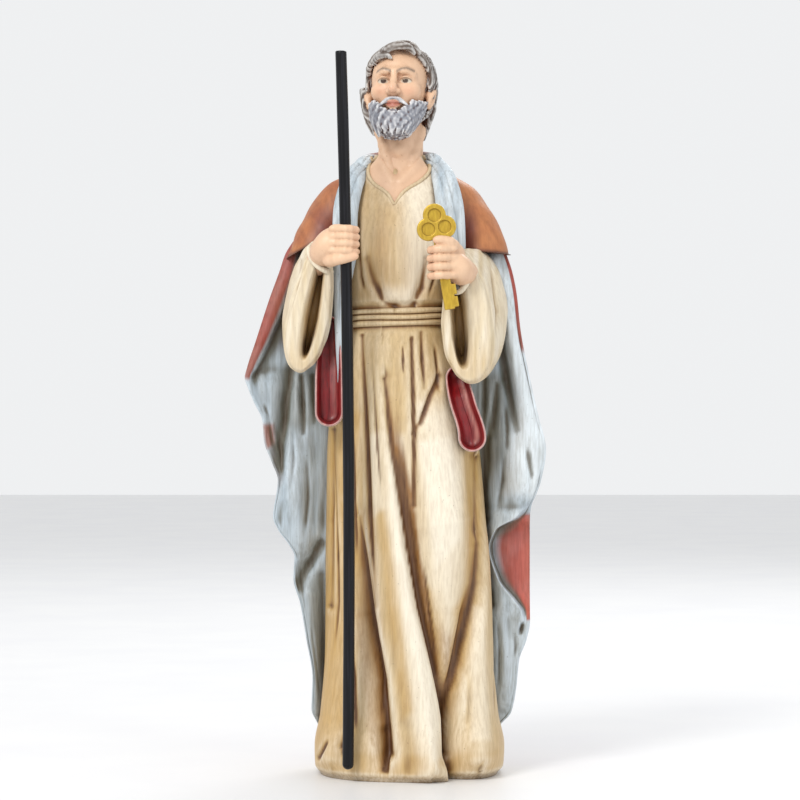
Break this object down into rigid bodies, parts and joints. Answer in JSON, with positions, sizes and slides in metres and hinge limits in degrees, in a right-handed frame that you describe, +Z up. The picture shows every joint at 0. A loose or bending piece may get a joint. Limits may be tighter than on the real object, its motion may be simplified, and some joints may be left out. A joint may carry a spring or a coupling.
{
  "type": "painted saint statue",
  "caption": "Painted cast figure of a bearded robed saint who holds an upright staff in one hand and a trefoil key in the other.",
  "frame": {"origin": "on the resting plane, under the middle of the statue", "axes": "+Z up to the crown, the figure faces -Y, +X to the viewer's right"},
  "size_m": [0.1068, 0.0738, 0.2601],
  "materials": {
    "painted_resin": "satin hand paint with a brown antiquing wash in the folds",
    "black_rod": "satin black",
    "gilt_metal": "satin gold paint"
  },
  "bodies": {
    "root": {"figure": "painted_resin", "staff": "black_rod", "key": "gilt_metal"}
  },
  "joints": []
}
